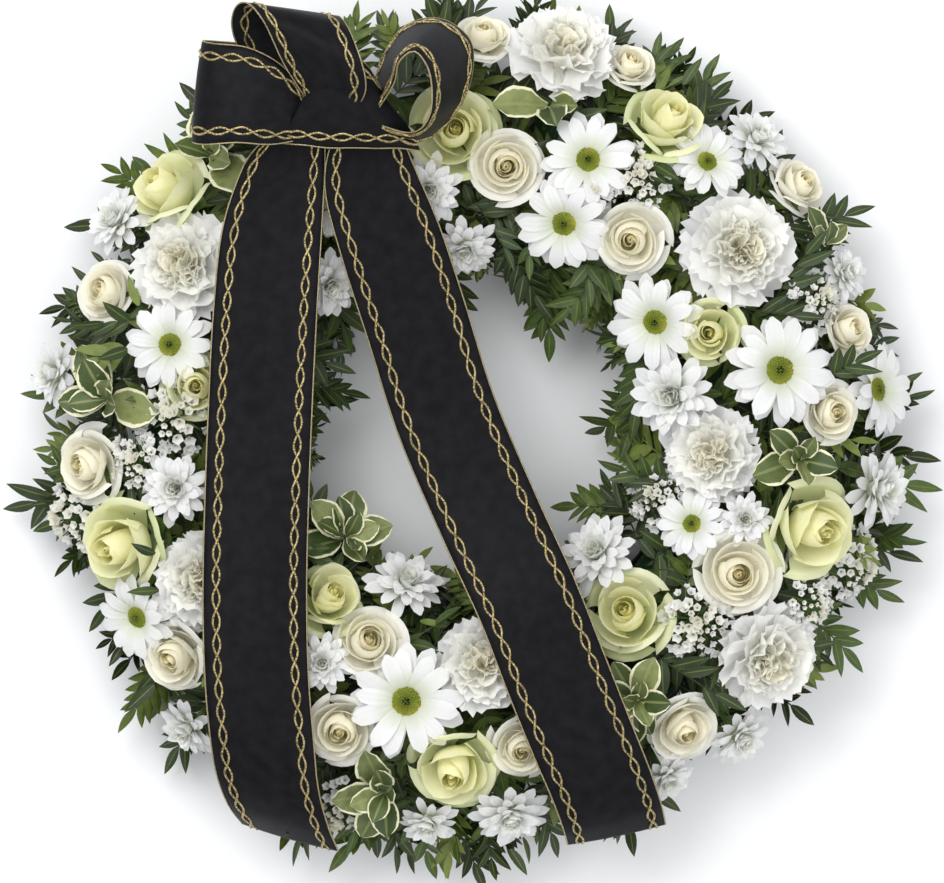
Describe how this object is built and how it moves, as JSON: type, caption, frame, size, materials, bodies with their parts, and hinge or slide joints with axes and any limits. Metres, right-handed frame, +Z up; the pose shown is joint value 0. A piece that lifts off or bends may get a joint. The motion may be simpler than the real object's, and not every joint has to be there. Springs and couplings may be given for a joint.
{
  "type": "funeral wreath",
  "caption": "Flat round funeral wreath of pale roses, carnations, chrysanthemums and greens on a foam ring, with a black ribbon bow and two long tails.",
  "frame": {"origin": "middle of the box that holds the whole wreath, on the underside of its tray", "axes": "+Z up, out of the face that carries the blooms; +Y towards the end with the bow; +X to the right of a viewer who looks down with the bow away from them"},
  "size_m": [0.5624, 0.5312, 0.1752],
  "materials": {
    "tray": "moulded, dull",
    "foam": "open-celled, matt",
    "rose": "soft petal, matt",
    "spray_rose": "soft petal, matt",
    "carnation": "crinkled petal, matt",
    "chrysanthemum": "petal, matt",
    "statice": "papery, matt",
    "greens": "leaf, semi-gloss",
    "ribbon": "satin weave",
    "wire": "lacquered, satin"
  },
  "bodies": {
    "root": {"base_tray": "tray", "bow_wire": "wire", "carnation_1": "carnation", "carnation_2": "carnation", "carnation_3": "carnation", "carnation_4": "carnation", "carnation_5": "carnation", "carnation_6": "carnation", "carnation_7": "carnation", "chrysanthemum_1": "chrysanthemum", "chrysanthemum_10": "chrysanthemum", "chrysanthemum_11": "chrysanthemum", "chrysanthemum_12": "chrysanthemum", "chrysanthemum_13": "chrysanthemum", "chrysanthemum_2": "chrysanthemum", "chrysanthemum_3": "chrysanthemum", "chrysanthemum_4": "chrysanthemum", "chrysanthemum_5": "chrysanthemum", "chrysanthemum_6": "chrysanthemum", "chrysanthemum_7": "chrysanthemum", "chrysanthemum_8": "chrysanthemum", "chrysanthemum_9": "chrysanthemum", "foam_ring": "foam", "greens_inner_1": "greens", "greens_inner_2": "greens", "greens_inner_3": "greens", "greens_inner_4": "greens", "greens_inner_5": "greens", "greens_inner_6": "greens", "greens_outer_1": "greens", "greens_outer_2": "greens", "greens_outer_3": "greens", "greens_outer_4": "greens", "ribbon_bow": "ribbon", "rose_1": "rose", "rose_10": "rose", "rose_2": "rose", "rose_3": "rose", "rose_4": "rose", "rose_5": "rose", "rose_6": "rose", "rose_7": "rose", "rose_8": "rose", "rose_9": "rose", "spray_rose_1": "spray_rose", "spray_rose_10": "spray_rose", "spray_rose_11": "spray_rose", "spray_rose_2": "spray_rose", "spray_rose_3": "spray_rose", "spray_rose_4": "spray_rose", "spray_rose_5": "spray_rose", "spray_rose_6": "spray_rose", "spray_rose_7": "spray_rose", "spray_rose_8": "spray_rose", "spray_rose_9": "spray_rose", "statice_1": "statice", "statice_2": "statice", "statice_3": "statice", "statice_4": "statice", "statice_5": "statice"}
  },
  "joints": []
}
